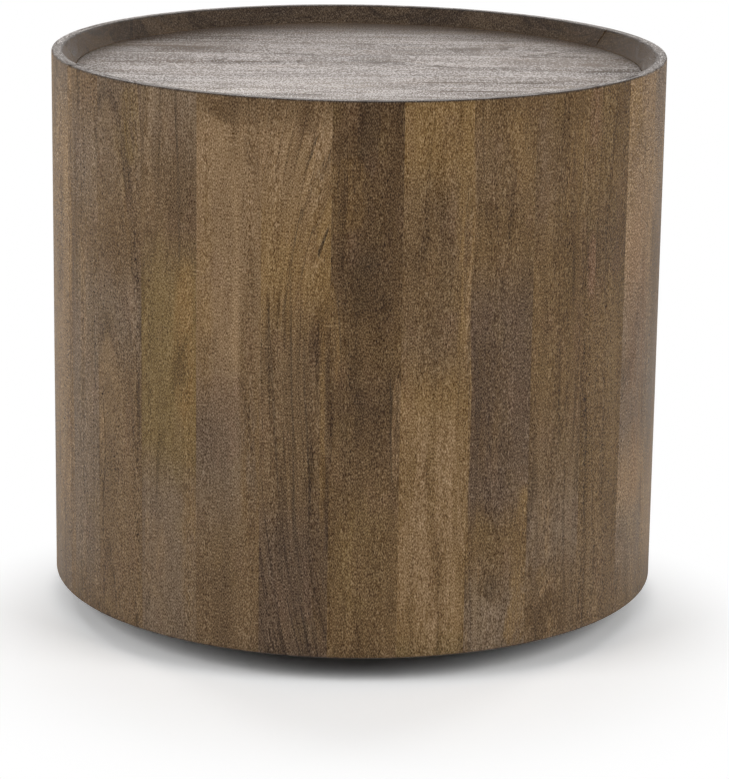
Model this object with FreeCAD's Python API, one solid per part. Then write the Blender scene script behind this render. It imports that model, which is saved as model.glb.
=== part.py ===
import FreeCAD, Part
import math
import os

# Round drum side table: upright staves, a recessed tray top and a set-back plinth.
# Lengths are millimetres and angles are degrees. The floor is at height zero, the
# drum's axis is the vertical axis, and the front faces the negative Y direction.

# Overall form
drum_diameter = 500.0
overall_height = 460.0
drum_lift = 22.5

# Staves: bevelled boards glued edge to edge, then turned round outside and dished inside the
# rim, whose inner face slants from its narrow top down to its wider foot at the tray
stave_count = 29
first_joint_angle = 8.0
rim_top_width = 8.5
rim_foot_width = 19.5
tray_ledge_width = 6.0
rim_outer_ease = 1.8
rim_inner_ease = 0.8
foot_edge_ease = 1.6
stave_tongue_width = 3.0
stave_tongue_depth = 4.0
stave_tongue_taper = 0.5

# Tray top: planks with tongues and grooves, cut to a disc
tray_depth = 14.0
tray_panel_thickness = 18.0
tray_edge_ease = 1.0
plank_count = 9
front_plank_width = 28.8
plank_tongue_thickness = 5.0
plank_tongue_depth = 5.0
plank_tongue_taper = 0.5

# Battens under the tray
batten_width = 40.0
batten_thickness = 20.0
batten_end_gap = 6.0
batten_edge_bevel = 3.0
batten_place_share = 0.5

# Base panel in the foot of the drum
base_panel_thickness = 12.0
base_recess = 2.0
base_ledge_width = 10.0

# Plinth ring and its glides
plinth_setback = 65.0
plinth_board_width = 50.0
plinth_segment_count = 6
plinth_foot_ease = 1.5
plinth_tongue_width = 10.0
plinth_tongue_depth = 8.0
plinth_tongue_taper = 1.0
glide_diameter = 26.0
glide_thickness = 2.5
glide_edge_ease = 0.8
glide_pin_diameter = 2.4
glide_pin_length = 12.0

# Screws, with heads that are flat underneath and sunk into recesses
batten_screw_diameter = 4.0
batten_screw_head_diameter = 8.5
batten_screw_head_height = 2.8
batten_screw_head_recess = 6.0
batten_screw_play = 2.0
batten_screw_end_distance = 15.0
batten_screw_tip_cover = 6.0
base_screw_count = 8
base_screw_diameter = 3.5
base_screw_head_diameter = 7.0
base_screw_head_height = 2.4
base_screw_bite = 22.0
plinth_screw_diameter = 4.0
plinth_screw_head_diameter = 8.0
plinth_screw_head_height = 2.6
plinth_screw_tip_cover = 6.0
plinth_screw_spread_share = 0.5
screw_side_count = 6

# Clearances, and how far a cutting shape runs past what it cuts
glue_clearance = 0.1
panel_clearance = 0.2
screw_clearance = 0.1
cut_overrun = 5.0

# Radii and heights that follow
drum_radius = drum_diameter / 2
rim_top_radius = drum_radius - rim_top_width
rim_foot_radius = drum_radius - rim_foot_width
stave_thickness = rim_foot_width + tray_ledge_width
stave_inner_flat = drum_radius - stave_thickness
stave_pitch = 360.0 / stave_count
stave_tongue_radius = drum_radius - rim_top_width / 2
tray_floor_height = overall_height - tray_depth
tray_ledge_height = tray_floor_height - tray_panel_thickness
tray_panel_radius = rim_foot_radius - panel_clearance
plank_width = 2 * (tray_panel_radius - front_plank_width) / (plank_count - 2)
base_rebate_radius = stave_inner_flat + base_ledge_width
base_underside_height = drum_lift + base_recess
base_top_height = base_underside_height + base_panel_thickness
base_screw_radius = stave_inner_flat + base_ledge_width / 2
plinth_radius = drum_radius - plinth_setback
plinth_inner_flat = plinth_radius - plinth_board_width
plinth_middle_radius = plinth_radius - plinth_board_width / 2
plinth_pitch = 360.0 / plinth_segment_count

upward = FreeCAD.Vector(0, 0, 1)
table_axis = (FreeCAD.Vector(0, 0, 0), upward)


def plan_point(radius, angle, height=0):
    """A point seen from above: the angle runs from the front towards the right."""
    turn = math.radians(angle)
    return FreeCAD.Vector(radius * math.sin(turn), -radius * math.cos(turn), height)


def along_ring(angle, length):
    """A step along the ring's tangent, towards growing angles."""
    turn = math.radians(angle)
    return FreeCAD.Vector(length * math.cos(turn), length * math.sin(turn), 0)


def side_point(radius, height):
    """A point of an upright section through the axis, on the front side."""
    return FreeCAD.Vector(0, -radius, height)


def closed_face(points):
    """A flat face inside straight lines through the points."""
    return Part.Face(Part.makePolygon(points + points[:1]))


def turned(points, sweep=360.0):
    """An upright section turned about the axis, centred on the front."""
    face = closed_face(points)
    face.rotate(*table_axis, -sweep / 2)
    return face.revolve(*table_axis, sweep)


def bevel_points(inner, outer, angle, middle, half_width, depth, taper):
    """One bevelled edge from inside to outside, with a tongue that stands out along the ring."""
    step = along_ring(angle, depth)
    return [
        plan_point(inner, angle),
        plan_point(middle - half_width, angle),
        plan_point(middle - half_width + taper, angle) + step,
        plan_point(middle + half_width - taper, angle) + step,
        plan_point(middle + half_width, angle),
        plan_point(outer, angle),
    ]


def segment_section(outer, inner_flat, half_pitch, middle, width, depth, taper):
    """Plan of one ring segment: curved outside, flat inside, tongue on the right, groove on the left."""
    corner = inner_flat / math.cos(math.radians(half_pitch))
    tongue = bevel_points(corner, outer, half_pitch, middle, width / 2, depth, taper)
    groove_half_width = width / 2 + glue_clearance
    groove_depth = depth + glue_clearance
    groove = bevel_points(
        corner, outer, -half_pitch, middle, groove_half_width, groove_depth, taper
    )
    outside = Part.Arc(tongue[-1], plan_point(outer, 0), groove[-1]).toShape()
    inside_path = list(reversed(groove)) + tongue
    lines = [Part.makeLine(a, b) for a, b in zip(inside_path, inside_path[1:])]
    return Part.Face(Part.Wire(lines + [outside]))


def upright_segment(section, low, high):
    """A plan section raised between two heights."""
    section.translate(upward * low)
    return section.extrude(upward * (high - low))


def spare_turn(depth, radius):
    """Angle by which a turned shape runs past a segment, so that it holds the tongue."""
    return math.degrees((depth + cut_overrun) / radius)


def placed(shape, angle):
    """A copy of a shape, turned from the front to an angle."""
    copy = shape.copy()
    copy.rotate(*table_axis, angle)
    return copy


# Fasteners. The many small pieces have flat sides, which keeps them light.

def many_sided(radius, low, high):
    """An upright bar round the axis with the flat sides of a screw or a pin."""
    turns = [360.0 * side / screw_side_count for side in range(screw_side_count)]
    section = closed_face([plan_point(radius, turn, low) for turn in turns])
    return section.extrude(upward * (high - low))


def rising_screw(shank_diameter, head_diameter, head_height, length, spare=0, lead=0):
    """A screw that rises from the seat of its head at height zero.
    Spare and lead widen it into its own hole."""
    shank = many_sided(shank_diameter / 2 + spare, -head_height, length + spare)
    head = many_sided(head_diameter / 2 + spare, -head_height - lead, 0)
    return shank.fuse(head).removeSplitter()


def slot_cutter(width, play, low, high):
    """An upright slot that lets a screw travel along Y."""
    length = width + play
    corner = FreeCAD.Vector(-width / 2, -length / 2, low)
    return Part.makeBox(width, length, high - low, corner)


# Drum wall

def base_screw_angles():
    """The base screws bite into the staves that stand nearest to an even spacing."""
    picks = [round(place * stave_count / base_screw_count) for place in range(base_screw_count)]
    return [stave_angle(pick) for pick in picks]


def stave_angle(place):
    """The angle of a stave's middle. Its right-hand joint lies half a pitch further."""
    return first_joint_angle + (place - 0.5) * stave_pitch


def base_screw(spare=0, lead=0):
    """A base screw at the front, which rises from the underside of the base panel."""
    screw = rising_screw(
        base_screw_diameter,
        base_screw_head_diameter,
        base_screw_head_height,
        base_panel_thickness - base_screw_head_height + base_screw_bite,
        spare,
        lead,
    )
    seat_height = base_underside_height + base_screw_head_height
    screw.translate(side_point(base_screw_radius, seat_height))
    return screw


def make_stave(bored):
    """One stave at the front, with the dished rim, the tray ledge and the base panel's rebate."""
    section = segment_section(
        drum_radius,
        stave_inner_flat,
        stave_pitch / 2,
        stave_tongue_radius,
        stave_tongue_width,
        stave_tongue_depth,
        stave_tongue_taper,
    )
    blank = upright_segment(section, drum_lift, overall_height)
    inside = stave_inner_flat - cut_overrun
    wall = turned([
        side_point(drum_radius - foot_edge_ease, drum_lift),
        side_point(drum_radius, drum_lift + foot_edge_ease),
        side_point(drum_radius, overall_height - rim_outer_ease),
        side_point(drum_radius - rim_outer_ease, overall_height),
        side_point(rim_top_radius + rim_inner_ease, overall_height),
        side_point(rim_top_radius, overall_height - rim_inner_ease),
        side_point(rim_foot_radius, tray_floor_height),
        side_point(rim_foot_radius, tray_ledge_height),
        side_point(inside, tray_ledge_height),
        side_point(inside, base_top_height),
        side_point(base_rebate_radius, base_top_height),
        side_point(base_rebate_radius, drum_lift),
    ], stave_pitch + 2 * spare_turn(stave_tongue_depth, drum_radius))
    stave = blank.common(wall)
    if bored:
        stave = stave.cut(base_screw(screw_clearance, cut_overrun))
    return stave.Solids[0]


def make_staves():
    """All staves in order from the front towards the right, as named shapes."""
    plain = make_stave(False)
    bored = make_stave(True)
    bored_angles = base_screw_angles()
    staves = {}
    for place in range(stave_count):
        angle = stave_angle(place)
        pattern = bored if angle in bored_angles else plain
        staves[f"stave_{place + 1:02d}"] = placed(pattern, angle)
    return staves


# Tray top

def plank_seams():
    """Places of the seams along Y. Two narrow planks lie at the front, then equally wide ones."""
    first = -tray_panel_radius + front_plank_width
    second = first + front_plank_width
    return [first] + [second + step * plank_width for step in range(plank_count - 2)]


def plank_spans():
    """Low and high side of each plank along Y, from front to back."""
    seams = [-tray_panel_radius] + plank_seams() + [tray_panel_radius]
    return list(zip(seams, seams[1:]))


def plank_edge(place, half_thickness, depth, taper):
    """Section points of a plank's edge from below, with a tongue towards positive Y."""
    middle = tray_ledge_height + tray_panel_thickness / 2
    return [
        (place, tray_ledge_height),
        (place, middle - half_thickness),
        (place + depth, middle - half_thickness + taper),
        (place + depth, middle + half_thickness - taper),
        (place, middle + half_thickness),
        (place, tray_floor_height),
    ]


def plain_edge(place):
    """Section points of an edge plank's outer side, which the disc cuts away."""
    return [(place, tray_ledge_height), (place, tray_floor_height)]


def make_plank(low, high, first, last):
    """One plank, grooved on its front edge and tongued on its back edge, cut to the disc."""
    half_tongue = plank_tongue_thickness / 2
    if first:
        front = plain_edge(low - cut_overrun)
    else:
        front = plank_edge(
            low,
            half_tongue + glue_clearance,
            plank_tongue_depth + glue_clearance,
            plank_tongue_taper,
        )
    if last:
        back = plain_edge(high + cut_overrun)
    else:
        back = plank_edge(high, half_tongue, plank_tongue_depth, plank_tongue_taper)
    start = -tray_panel_radius - cut_overrun
    outline = [FreeCAD.Vector(start, y, z) for y, z in front + list(reversed(back))]
    board = closed_face(outline).extrude(FreeCAD.Vector(-2 * start, 0, 0))
    disc = turned([
        side_point(0, tray_ledge_height),
        side_point(tray_panel_radius, tray_ledge_height),
        side_point(tray_panel_radius, tray_floor_height - tray_edge_ease),
        side_point(tray_panel_radius - tray_edge_ease, tray_floor_height),
        side_point(0, tray_floor_height),
    ])
    return board.common(disc)


def batten_place():
    """Distance of each batten's middle from the table's axis, along X."""
    return tray_panel_radius * batten_place_share


def batten_half_length():
    """Half of a batten's length, so that its corners stop short of the staves."""
    side = batten_place() + batten_width / 2
    return math.sqrt(stave_inner_flat ** 2 - side ** 2) - batten_end_gap


def batten_screw_places():
    """The planks that a batten reaches are screwed at their middles."""
    reach = batten_half_length() - batten_screw_end_distance
    middles = [(low + high) / 2 for low, high in plank_spans()]
    return [middle for middle in middles if abs(middle) < reach]


def batten_screw_length():
    """From the seat of the head to a tip that stays inside the plank."""
    through_batten = batten_thickness - batten_screw_head_recess
    return through_batten + tray_panel_thickness - batten_screw_tip_cover


def batten_seat_height():
    """Height at which the heads bear inside their recesses."""
    return tray_ledge_height - batten_thickness + batten_screw_head_recess


def make_planks():
    """The tray planks from front to back, with pilot holes over the battens."""
    spans = plank_spans()
    screw_places = batten_screw_places()
    pilot_radius = batten_screw_diameter / 2 + screw_clearance
    pilot_depth = tray_panel_thickness - batten_screw_tip_cover + screw_clearance
    planks = {}
    for place, (low, high) in enumerate(spans):
        plank = make_plank(low, high, place == 0, place == len(spans) - 1)
        middle = (low + high) / 2
        if middle in screw_places:
            for side in (-1, 1):
                pilot = many_sided(pilot_radius, -cut_overrun, pilot_depth)
                pilot.translate(FreeCAD.Vector(side * batten_place(), middle, tray_ledge_height))
                plank = plank.cut(pilot)
        planks[f"tray_plank_{place + 1}"] = plank.Solids[0]
    return planks


def make_batten(side):
    """One batten across the planks, with slots that let the top swell and shrink."""
    half_width = batten_width / 2
    low = tray_ledge_height - batten_thickness
    x = side * batten_place()
    start = -batten_half_length()
    outline = [
        FreeCAD.Vector(x - half_width, start, tray_ledge_height),
        FreeCAD.Vector(x - half_width, start, low + batten_edge_bevel),
        FreeCAD.Vector(x - half_width + batten_edge_bevel, start, low),
        FreeCAD.Vector(x + half_width - batten_edge_bevel, start, low),
        FreeCAD.Vector(x + half_width, start, low + batten_edge_bevel),
        FreeCAD.Vector(x + half_width, start, tray_ledge_height),
    ]
    batten = closed_face(outline).extrude(FreeCAD.Vector(0, -2 * start, 0))
    head_width = batten_screw_head_diameter + 2 * screw_clearance
    shank_width = batten_screw_diameter + 2 * screw_clearance
    top = tray_ledge_height + cut_overrun
    head_slot = slot_cutter(head_width, batten_screw_play, low - cut_overrun, batten_seat_height())
    shank_slot = slot_cutter(shank_width, batten_screw_play, low, top)
    for y in batten_screw_places():
        for slot in (head_slot.copy(), shank_slot.copy()):
            slot.translate(FreeCAD.Vector(x, y, 0))
            batten = batten.cut(slot)
    return batten.Solids[0]


def make_batten_screws():
    """All screws that hold the battens to the planks."""
    pattern = rising_screw(
        batten_screw_diameter,
        batten_screw_head_diameter,
        batten_screw_head_height,
        batten_screw_length(),
    )
    screws = []
    for side in (-1, 1):
        for y in batten_screw_places():
            screw = pattern.copy()
            screw.translate(FreeCAD.Vector(side * batten_place(), y, batten_seat_height()))
            screws.append(screw)
    return screws


# Base panel, plinth and glides

def plinth_screw(spare=0, lead=0):
    """A plinth screw at the front, which points down from the top of the base panel."""
    plinth_height = base_underside_height - glide_thickness
    screw = rising_screw(
        plinth_screw_diameter,
        plinth_screw_head_diameter,
        plinth_screw_head_height,
        base_panel_thickness - plinth_screw_head_height + plinth_height - plinth_screw_tip_cover,
        spare,
        lead,
    )
    screw.rotate(FreeCAD.Vector(0, 0, 0), FreeCAD.Vector(1, 0, 0), 180)
    seat_height = base_top_height - plinth_screw_head_height
    screw.translate(side_point(plinth_middle_radius, seat_height))
    return screw


def plinth_angles():
    """Angles of the middles of the plinth segments."""
    return [(place + 0.5) * plinth_pitch for place in range(plinth_segment_count)]


def plinth_screw_turns():
    """Two screws stand in each segment, at these angles from its middle."""
    turn = plinth_pitch / 2 * plinth_screw_spread_share
    return (-turn, turn)


def make_base_panel():
    """The round panel at the foot of the drum, bored for its screws and those of the plinth."""
    panel = Part.makeCylinder(
        base_rebate_radius - panel_clearance,
        base_panel_thickness,
        FreeCAD.Vector(0, 0, base_underside_height),
    )
    base_hole = base_screw(screw_clearance, cut_overrun)
    for angle in base_screw_angles():
        panel = panel.cut(placed(base_hole, angle))
    plinth_hole = plinth_screw(screw_clearance, cut_overrun)
    for angle in plinth_angles():
        for turn in plinth_screw_turns():
            panel = panel.cut(placed(plinth_hole, angle + turn))
    return panel.Solids[0]


def glide_pin(spare=0):
    """The pin of a glide at the front, from the pad's top up into the plinth."""
    radius = glide_pin_diameter / 2 + spare
    pin = many_sided(radius, glide_thickness - spare, glide_thickness + glide_pin_length + spare)
    pin.translate(side_point(plinth_middle_radius, 0))
    return pin


def make_glide():
    """A nailed glide at the front: a low round pad with a pin that enters the plinth."""
    pad = glide_diameter / 2
    disc = turned([
        side_point(0, 0),
        side_point(pad - glide_edge_ease, 0),
        side_point(pad, glide_edge_ease),
        side_point(pad, glide_thickness),
        side_point(0, glide_thickness),
    ])
    disc.translate(side_point(plinth_middle_radius, 0))
    return disc.fuse(glide_pin()).removeSplitter()


def make_plinth_segment():
    """One segment of the plinth ring at the front, bored for its screws and its glide."""
    section = segment_section(
        plinth_radius,
        plinth_inner_flat,
        plinth_pitch / 2,
        plinth_middle_radius + plinth_board_width / 4,
        plinth_tongue_width,
        plinth_tongue_depth,
        plinth_tongue_taper,
    )
    blank = upright_segment(section, glide_thickness, base_underside_height)
    inside = plinth_inner_flat - cut_overrun
    ring = turned([
        side_point(plinth_radius - plinth_foot_ease, glide_thickness),
        side_point(plinth_radius, glide_thickness + plinth_foot_ease),
        side_point(plinth_radius, base_underside_height),
        side_point(inside, base_underside_height),
        side_point(inside, glide_thickness),
    ], plinth_pitch + 2 * spare_turn(plinth_tongue_depth, plinth_inner_flat))
    segment = blank.common(ring)
    for turn in plinth_screw_turns():
        segment = segment.cut(placed(plinth_screw(screw_clearance), turn))
    return segment.cut(glide_pin(screw_clearance)).Solids[0]


def make_plinth():
    """The plinth segments in order from the front towards the right, as named shapes."""
    segment = make_plinth_segment()
    return {
        f"plinth_segment_{place + 1}": placed(segment, angle)
        for place, angle in enumerate(plinth_angles())
    }


def make_table():
    """Every piece of the table under its own name."""
    pieces = make_staves()
    pieces.update(make_planks())
    pieces["tray_batten_left"] = make_batten(-1)
    pieces["tray_batten_right"] = make_batten(1)
    pieces["batten_screws"] = Part.makeCompound(make_batten_screws())
    pieces["base_panel"] = make_base_panel()
    pieces["base_screws"] = Part.makeCompound(
        [placed(base_screw(), angle) for angle in base_screw_angles()]
    )
    pieces.update(make_plinth())
    pieces["glides"] = Part.makeCompound([placed(make_glide(), angle) for angle in plinth_angles()])
    pieces["plinth_screws"] = Part.makeCompound([
        placed(plinth_screw(), angle + turn)
        for angle in plinth_angles()
        for turn in plinth_screw_turns()
    ])
    return pieces


os.makedirs("parts", exist_ok=True)
for name, piece in make_table().items():
    piece.exportStep(f"parts/{name}.step")
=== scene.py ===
import math
import random
from collections import namedtuple

import bmesh
import bpy
from bpy.props import FloatProperty, FloatVectorProperty, IntProperty, PointerProperty
from mathutils import Matrix, Vector, noise


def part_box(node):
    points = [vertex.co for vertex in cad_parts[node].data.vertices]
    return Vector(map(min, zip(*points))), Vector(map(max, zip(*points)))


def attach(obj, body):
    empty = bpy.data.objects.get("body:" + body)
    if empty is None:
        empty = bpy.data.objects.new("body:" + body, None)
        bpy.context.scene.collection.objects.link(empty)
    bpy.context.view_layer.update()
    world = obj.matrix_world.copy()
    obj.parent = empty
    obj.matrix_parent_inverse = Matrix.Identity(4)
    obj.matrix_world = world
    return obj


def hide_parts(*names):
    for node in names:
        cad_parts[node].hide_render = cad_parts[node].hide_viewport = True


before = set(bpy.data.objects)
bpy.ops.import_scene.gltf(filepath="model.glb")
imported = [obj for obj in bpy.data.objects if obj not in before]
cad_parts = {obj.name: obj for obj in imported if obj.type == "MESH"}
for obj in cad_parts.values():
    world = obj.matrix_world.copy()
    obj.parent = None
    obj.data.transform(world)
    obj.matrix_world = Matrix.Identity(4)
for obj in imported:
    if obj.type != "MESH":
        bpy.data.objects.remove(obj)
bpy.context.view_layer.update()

bl_info = {
    "name": "Round Drum Side Table",
    "version": (1, 0, 0),
    "blender": (4, 5, 0),
    "location": "3D View > Sidebar > Drum Table",
    "description": "Gives the drum side table its finely shaped boards, its stain and its studio",
    "category": "Add Mesh",
}

# Lengths are metres, as in the frame, and angles run from the front towards the right.
# A board's pattern is worked out in millimetres.
MM = 0.001


# What the frame gives

def frame_points(name):
    """The corner points of one node's mesh."""
    return [vertex.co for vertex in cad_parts[name].data.vertices]


def reach(point):
    """Distance of a point from the table's axis."""
    return math.hypot(point.x, point.y)


def bearing(point):
    """Angle of a point round the axis, from the front towards the right."""
    return math.atan2(point.x, -point.y)


def node_names(start):
    """The frame's nodes whose names start alike, in order."""
    return sorted(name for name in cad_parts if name.startswith(start))


STAVE_NAMES = node_names("stave_")
PLANK_NAMES = node_names("tray_plank_")
BATTEN_NAMES = node_names("tray_batten_")
PLINTH_NAMES = node_names("plinth_segment_")
SCREW_NAMES = ["base_screws", "batten_screws", "plinth_screws"]

STAVE_POINTS = frame_points(STAVE_NAMES[0])
DRUM_RADIUS = max(reach(point) for point in STAVE_POINTS)
DRUM_FOOT, DRUM_TOP = (corner.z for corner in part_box(STAVE_NAMES[0]))
TRAY_LEDGE, TRAY_FLOOR = (corner.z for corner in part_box(PLANK_NAMES[0]))
BASE_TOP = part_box("base_panel")[1].z
RIM_TOP_RADIUS = min(reach(point) for point in STAVE_POINTS if point.z > DRUM_TOP - 2 * MM)
RIM_FOOT_RADIUS = min(reach(point) for point in STAVE_POINTS if point.z > TRAY_LEDGE + MM)
REBATE_RADIUS = min(reach(point) for point in STAVE_POINTS if point.z < DRUM_FOOT + MM)
TRAY_RADIUS = max(reach(point) for name in PLANK_NAMES for point in frame_points(name))
HALF_STAVE = math.pi / len(STAVE_NAMES)


def stave_bearing(name):
    """Angle of a stave's middle, from the outer corners of its node."""
    outer = [point for point in frame_points(name) if reach(point) > DRUM_RADIUS - MM / 2]
    rough = bearing(sum(outer, Vector()))
    offsets = [math.remainder(bearing(point) - rough, math.tau) for point in outer]
    return rough + (min(offsets) + max(offsets)) / 2


def plan_point(radius, angle, height=0):
    """A point at an angle from the front."""
    return Vector((radius * math.sin(angle), -radius * math.cos(angle), height))


def inner_flat():
    """Distance from the axis to the flat inside of a stave."""
    outward = plan_point(1, stave_bearing(STAVE_NAMES[0]))
    return min(point.dot(outward) for point in STAVE_POINTS)


INNER_FLAT = inner_flat()


# What a user may change

def stain(red, green, blue):
    """A colour as a screen shows it, from 0 to 255, as the linear colour that Blender keeps."""
    def linear(level):
        share = level / 255
        return share / 12.92 if share <= 0.04045 else ((share + 0.055) / 1.055) ** 2.4
    return (linear(red), linear(green), linear(blue))


def setting(kind, **limits):
    """A way to state one kind of setting, each with its name, description and default."""
    def state(name, description, default, **others):
        return kind(name=name, description=description, default=default, **{**limits, **others})
    return state


tint = setting(FloatVectorProperty, subtype="COLOR", size=3, min=0, max=1)
metres = setting(FloatProperty, min=0, unit="LENGTH", precision=5)
amount = setting(FloatProperty, min=0, max=2, subtype="FACTOR")
watts = setting(FloatProperty, min=0, unit="POWER")
count = setting(IntProperty, min=2, max=60)


def degrees(name, description, angle):
    """An angle that a user may change, stated here in degrees."""
    return setting(FloatProperty, subtype="ANGLE")(name, description, math.radians(angle))


class BoardSizes(bpy.types.PropertyGroup):
    """Sizes of the fine shape of the staves and the tray planks."""

    rim_round: metres("Rim round", "Radius of the rim's outer edge", 0.0018)
    rim_inner_round: metres("Rim inner round", "Radius of its inner edge", 0.0012)
    foot_round: metres("Foot round", "Radius of the drum's lower outer edge", 0.0016)
    joint_ease: metres("Joint ease", "How far the edges at each joint are broken", 0.0002)
    tongue_width: metres("Stave tongue width", "Width of a stave's tongue", 0.003)
    tongue_depth: metres("Stave tongue depth", "How far the tongue stands out", 0.004)
    tongue_taper: metres("Stave tongue taper", "How much narrower its end is", 0.0005)
    glue_gap: metres("Glue gap", "Room round a tongue in its groove", 0.0001)
    sanding_wave: metres("Sanding wave", "Depth of the hand-sanded waves", 0.00015)
    proud_step: metres("Proud step", "How far one stave stands inside the rim", 0.0009)
    plank_tongue: metres("Plank tongue", "Thickness and depth of a plank's tongue", 0.005)
    tray_edge_round: metres("Tray edge round", "Radius of the tray's upper edge", 0.001)
    arc_steps: count("Arc steps", "Straight steps across one stave", 10, max=40)
    wall_steps: count("Wall steps", "Steps up the plain wall", 16)


class StainColours(bpy.types.PropertyGroup):
    """Colours of the stained wood and of the other finishes."""

    umber: tint("Umber", "Darkest heartwood", stain(62, 47, 30))
    walnut: tint("Walnut", "Dark brown", stain(85, 63, 36))
    bark: tint("Bark", "Brown", stain(101, 77, 45))
    tobacco: tint("Tobacco", "Middle brown", stain(106, 83, 55))
    olive: tint("Olive", "Greenish brown", stain(113, 91, 53))
    honey: tint("Honey", "Golden brown", stain(124, 97, 59))
    tan: tint("Tan", "Light brown", stain(133, 107, 76))
    rose: tint("Rose", "Reddish brown", stain(115, 87, 66))
    ash: tint("Ash", "Grey brown", stain(113, 93, 71))
    plum: tint("Plum", "Dark brown with a violet tinge", stain(91, 71, 51))
    driftwood: tint("Driftwood", "Washed dark grey", stain(80, 69, 60))
    pebble: tint("Pebble", "Washed grey", stain(98, 88, 80))
    panel: tint("Base panel", "Plain board under the drum", stain(52, 42, 34))
    paint: tint("Plinth paint", "Black paint of the plinth", stain(20, 20, 20))
    steel: tint("Screw steel", "Zinc-plated steel", stain(176, 178, 180))
    glide: tint("Glide", "Dark nylon of the glides", stain(44, 44, 46))
    streak_contrast: amount("Streak contrast", "Strength of the long streaks", 1.0)
    speckle_contrast: amount("Speckle contrast", "Strength of the fine speckle", 1.0)
    line_depth: amount("Line depth", "Strength of the thin dark ring lines", 0.06)
    end_stain: tint("End grain colour", "Colour of the cut end grain", stain(56, 48, 42))
    end_grain: amount("End grain", "How far the cut end grain takes its colour", 1.2)
    end_roughness: amount("Slant roughness", "How much rougher a slanted cut is", 0.9)
    end_sparkle: amount("End sparkle", "How unevenly a cut face shines", 0.2)
    hue_drift: amount("Hue drift", "Strength of the reddish and greenish clouds", 0.2)
    wall_roughness: amount("Wall roughness", "Roughness of the drum's lacquer", 0.4, max=1)
    tray_roughness: amount("Tray roughness", "Roughness of the tray's lacquer", 0.4, max=1)
    lacquer_index: setting(FloatProperty, min=1)(
        "Lacquer index", "How strongly the lacquer mirrors", 1.38
    )


class StudioSettings(bpy.types.PropertyGroup):
    """Sizes of the camera, the floor and the light."""

    camera_distance: metres("Camera distance", "From the table's axis", 2.6839)
    camera_height: metres("Camera height", "Above the floor", 0.8853)
    focal_length: setting(FloatProperty, unit="CAMERA")(
        "Focal length", "Lens of the camera", 153.36
    )
    camera_pitch: degrees("Pitch", "Downward tilt", 14.87)
    camera_turn: degrees("Turn", "Turn to the right", 0.172)
    camera_roll: degrees("Roll", "Lean of the picture", 0.814)
    floor_size: metres("Floor size", "Side of the floor", 12.0)
    shadow_start: metres("Shadow start", "Where the floor begins to turn white", 0.19)
    shadow_reach: metres("Shadow reach", "Where the floor has turned white", 0.37)
    shadow_shift: metres("Shadow shift", "How far the shadow lies towards the front", 0.13)
    floor_tone: amount("Floor tone", "How much light the floor gives back", 0.85)
    floor_seen: amount("Floor as seen", "How pale the floor looks to the camera", 1.23)
    floor_gleam: amount("Floor gleam", "How pale the floor looks in the gloss", 0.9)
    sky_light: amount("Sky light", "Strength of the light from all round", 0.12)
    back_gleam: amount("Back gleam", "White behind the table, as gloss shows it", 2, max=5)
    gleam_tint: tint("Gleam tint", "Colour of the white that gloss shows", (1, 0.94, 0.9))
    side_gleam: amount("Side gleam", "White at the sides, as gloss shows it", 0.65)
    front_size: metres("Front lamp size", "Side of the lamp in front", 1.2)
    front_distance: metres("Front lamp distance", "From the table's middle", 2.4)
    front_rise: degrees("Front lamp rise", "Angle above the level", 43)
    front_power: watts("Front lamp power", "Power of the lamp in front", 4)
    side_size: metres("Side lamp size", "Side of each of the two side lamps", 1.3)
    side_distance: metres("Side lamp distance", "From the table's middle", 2.4)
    side_swing: degrees("Side lamp swing", "Angle round from the front, each way", 57)
    side_rise: degrees("Side lamp rise", "Angle above the level", 26)
    side_power: watts("Side lamp power", "Power of each of the two side lamps", 29.5)
    back_size: metres("Back lamp size", "Side of each of the two lamps behind", 0.5)
    back_distance: metres("Back lamp distance", "From the table's middle", 2.6)
    back_swing: degrees("Back lamp swing", "Angle round from the front, each way", 137)
    back_rise: degrees("Back lamp rise", "Angle above the level", 35)
    back_power: watts("Back lamp power", "Power of each of the two lamps behind", 7)


# Shader maths

class Wire:
    """One socket of a node tree. Arithmetic on it adds Math nodes, or Vector Math for vectors."""

    def __init__(self, graph, socket):
        self.graph = graph
        self.socket = socket

    def __add__(self, other):
        return self.graph.maths("ADD", self, other)

    def __sub__(self, other):
        return self.graph.maths("SUBTRACT", self, other)

    def __rsub__(self, other):
        return self.graph.maths("SUBTRACT", other, self)

    def __mul__(self, other):
        return self.graph.maths("MULTIPLY", self, other)

    def __truediv__(self, other):
        return self * (1 / other)

    def __neg__(self):
        return self * -1

    __radd__ = __add__
    __rmul__ = __mul__

    def dot(self, direction):
        """Length of a vector along a direction."""
        return self.graph.vector_maths("DOT_PRODUCT", self, direction, output="Value")


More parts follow.
